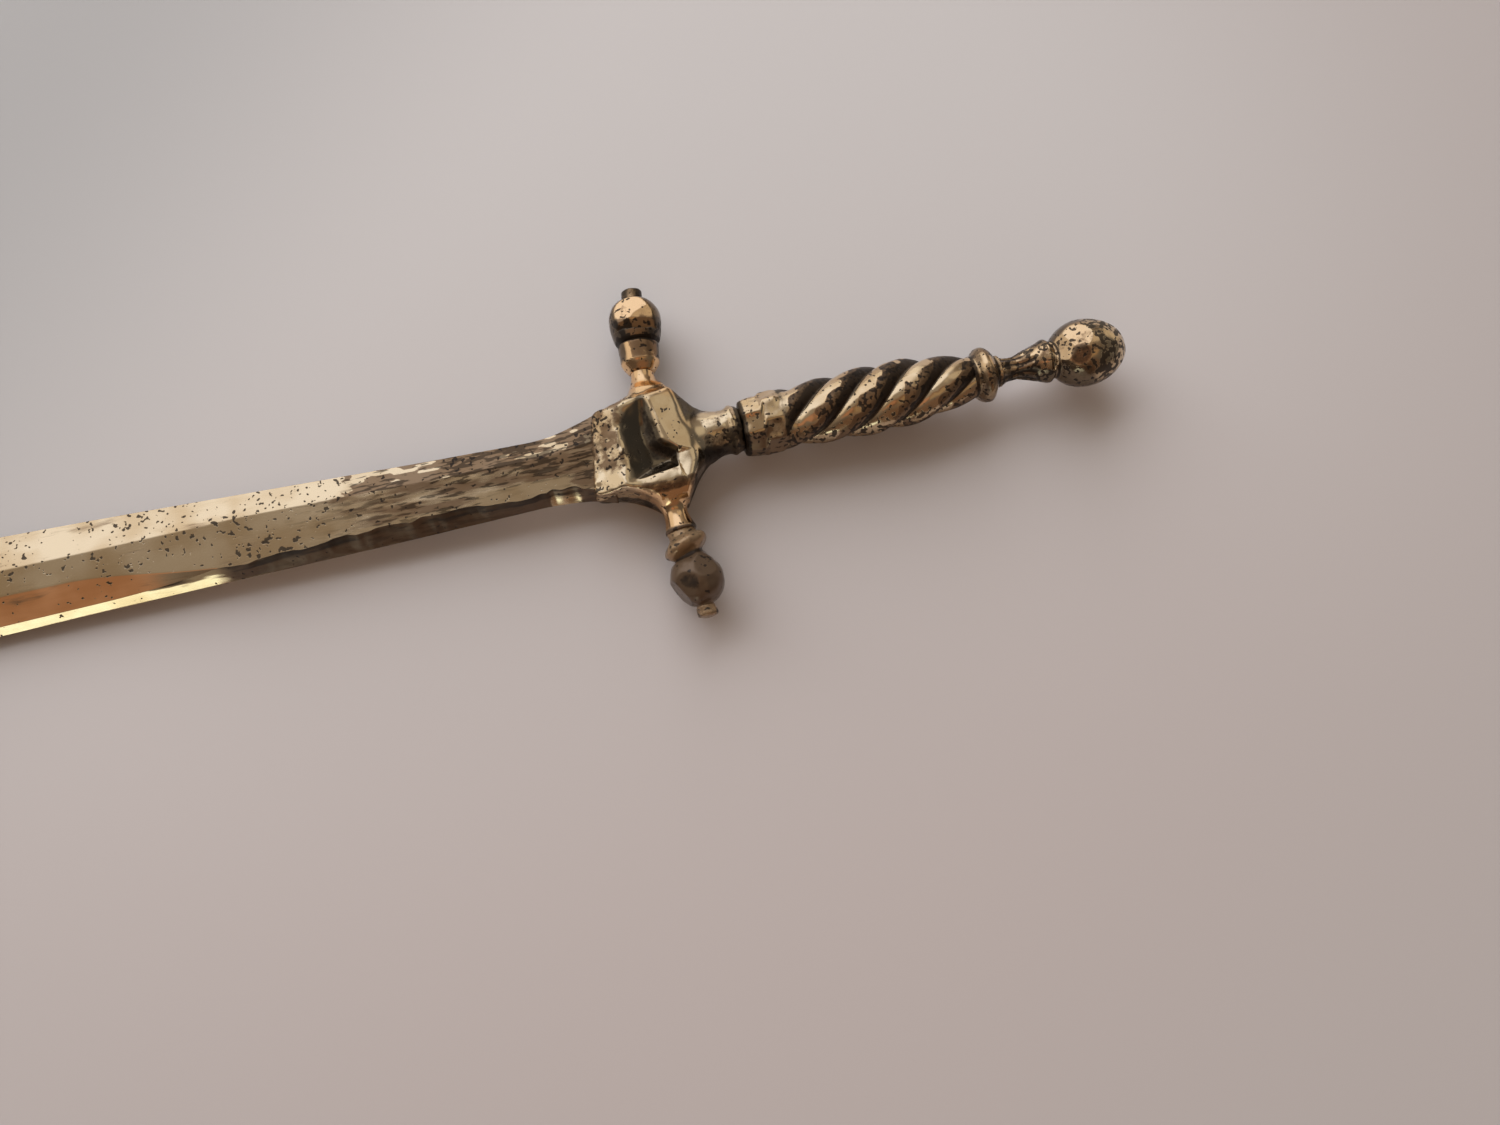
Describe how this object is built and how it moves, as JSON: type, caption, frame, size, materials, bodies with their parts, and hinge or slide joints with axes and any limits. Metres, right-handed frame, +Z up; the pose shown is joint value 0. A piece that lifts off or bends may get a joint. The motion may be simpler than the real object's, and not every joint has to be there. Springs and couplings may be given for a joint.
{
  "type": "letter opener",
  "caption": "Cast brass letter opener shaped like a small cross-hilted sword: leaf blade, dished guard block with ball-ended arms, twisted grip, collar and egg-shaped pommel.",
  "frame": {"origin": "middle of the length and of the guard's span, on the surface that the opener lies on", "axes": "+X along the opener from the tip to the pommel, +Y along the arms of the guard, +Z up from the surface"},
  "size_m": [0.2099, 0.0466, 0.0094],
  "materials": {
    "aged_brass": "cast, hand-polished and tarnished brass, dark in the hollows and worn bright on the crests",
    "dull_brass": "brown, unpolished brass with a dull skin"
  },
  "bodies": {
    "root": {"blade": "aged_brass", "guard": "aged_brass", "upper_quillon_finial": "aged_brass", "lower_quillon_finial": "dull_brass", "grip": "aged_brass", "grip_collar": "aged_brass", "pommel": "aged_brass"}
  },
  "joints": []
}
